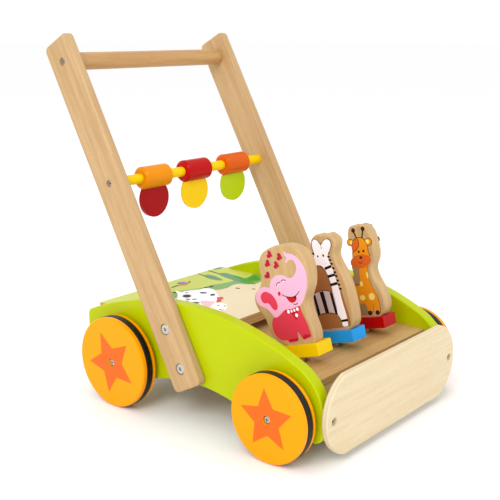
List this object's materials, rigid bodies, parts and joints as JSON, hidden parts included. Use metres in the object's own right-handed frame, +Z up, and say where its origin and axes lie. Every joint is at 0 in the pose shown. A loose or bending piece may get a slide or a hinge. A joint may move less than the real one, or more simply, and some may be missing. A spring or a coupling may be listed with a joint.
{
  "type": "baby walker",
  "caption": "Wooden push-along baby walker: arched side panels on rubber-ringed wheels, leaning posts with a handle, turning rollers on a rod, picture board and bobbing animals.",
  "frame": {"origin": "on the floor, under the centre of the whole walker", "axes": "+Z up, -Y is the rolling direction (bumper end), +X is the child's left"},
  "size_m": [0.324, 0.4226, 0.4489],
  "materials": {
    "green_paint": "lime-green gloss lacquer on plywood",
    "beech": "clear satin lacquer, straight fine grain",
    "limewood": "clear satin lacquer, printed on both flat faces",
    "yellow_paint": "yellow gloss paint",
    "blue_paint": "blue gloss paint",
    "red_paint": "red gloss paint",
    "dark_red_paint": "dark red gloss paint",
    "orange_yellow_paint": "orange-yellow gloss paint",
    "orange_paint": "orange gloss paint",
    "zinc_steel": "zinc plated",
    "birch_plywood": "clear satin lacquer, layered edges",
    "printed_plywood": "printed top, clear lacquer, layered edges",
    "white_nylon": "natural white nylon",
    "wheel_paint": "yellow-orange gloss paint with a printed star",
    "tyre_rubber": "smooth black rubber ring"
  },
  "bodies": {
    "walker_frame": {"left_side_panel": "green_paint", "right_side_panel": "green_paint", "left_post": "beech", "right_post": "beech", "push_handle": "beech", "handle_screws": "zinc_steel", "roller_rod": "yellow_paint", "rod_screws": "zinc_steel", "post_bolts": "zinc_steel", "threaded_inserts": "zinc_steel", "picture_board": "printed_plywood", "front_deck": "birch_plywood", "front_cross_panel": "birch_plywood", "rear_cross_panel": "birch_plywood", "joining_dowels": "beech", "bumper_plate": "birch_plywood", "bumper_screws": "zinc_steel", "axle_bushes": "white_nylon", "lever_pivot_rod": "zinc_steel"},
    "front_axle_set": {"front_axle": "beech", "front_left_wheel": "wheel_paint", "front_right_wheel": "wheel_paint", "front_left_tyre": "tyre_rubber", "front_right_tyre": "tyre_rubber", "front_hub_screws": "zinc_steel", "front_axle_spacers": "white_nylon", "elephant_cam": "beech", "zebra_cam": "beech", "giraffe_cam": "beech"},
    "rear_axle_set": {"rear_axle": "beech", "rear_left_wheel": "wheel_paint", "rear_right_wheel": "wheel_paint", "rear_left_tyre": "tyre_rubber", "rear_right_tyre": "tyre_rubber", "rear_hub_screws": "zinc_steel", "rear_axle_spacers": "white_nylon"},
    "first_roller_set": {"first_roller": "orange_yellow_paint", "first_disc": "dark_red_paint"},
    "second_roller_set": {"second_roller": "red_paint", "second_disc": "yellow_paint"},
    "third_roller_set": {"third_roller": "orange_paint", "third_disc": "green_paint"},
    "elephant_lever_set": {"elephant_figure": "limewood", "elephant_base": "yellow_paint", "elephant_riser": "beech", "elephant_lever": "beech", "elephant_cam_follower": "zinc_steel", "elephant_pins": "beech"},
    "zebra_lever_set": {"zebra_figure": "limewood", "zebra_base": "blue_paint", "zebra_riser": "beech", "zebra_lever": "beech", "zebra_cam_follower": "zinc_steel", "zebra_pins": "beech"},
    "giraffe_lever_set": {"giraffe_figure": "limewood", "giraffe_base": "red_paint", "giraffe_riser": "beech", "giraffe_lever": "beech", "giraffe_cam_follower": "zinc_steel", "giraffe_pins": "beech"}
  },
  "joints": [
    {"name": "front_axle_spin", "type": "hinge", "parent": "walker_frame", "child": "front_axle_set", "pos_m": [0, -0.1487, 0.0505], "axis": [1, 0, 0], "continuous": true},
    {"name": "rear_axle_spin", "type": "hinge", "parent": "walker_frame", "child": "rear_axle_set", "pos_m": [0, 0.0941, 0.0567], "axis": [1, 0, 0], "continuous": true},
    {"name": "first_roller_spin", "type": "hinge", "parent": "walker_frame", "child": "first_roller_set", "pos_m": [-0.072, 0.1044, 0.27517], "axis": [1, 0, 0], "continuous": true},
    {"name": "second_roller_spin", "type": "hinge", "parent": "walker_frame", "child": "second_roller_set", "pos_m": [0.002, 0.1044, 0.27517], "axis": [1, 0, 0], "continuous": true},
    {"name": "third_roller_spin", "type": "hinge", "parent": "walker_frame", "child": "third_roller_set", "pos_m": [0.079, 0.1044, 0.27517], "axis": [1, 0, 0], "continuous": true},
    {"name": "elephant_bob", "type": "hinge", "parent": "walker_frame", "child": "elephant_lever_set", "pos_m": [-0.068, -0.11, 0.0715], "axis": [-1, 0, 0], "range_deg": [-9.3, 0.2]},
    {"name": "zebra_bob", "type": "hinge", "parent": "walker_frame", "child": "zebra_lever_set", "pos_m": [0, -0.11, 0.0715], "axis": [-1, 0, 0], "range_deg": [-7.3, 2.2]},
    {"name": "giraffe_bob", "type": "hinge", "parent": "walker_frame", "child": "giraffe_lever_set", "pos_m": [0.068, -0.11, 0.0715], "axis": [-1, 0, 0], "range_deg": [-6.8, 2.7]}
  ]
}
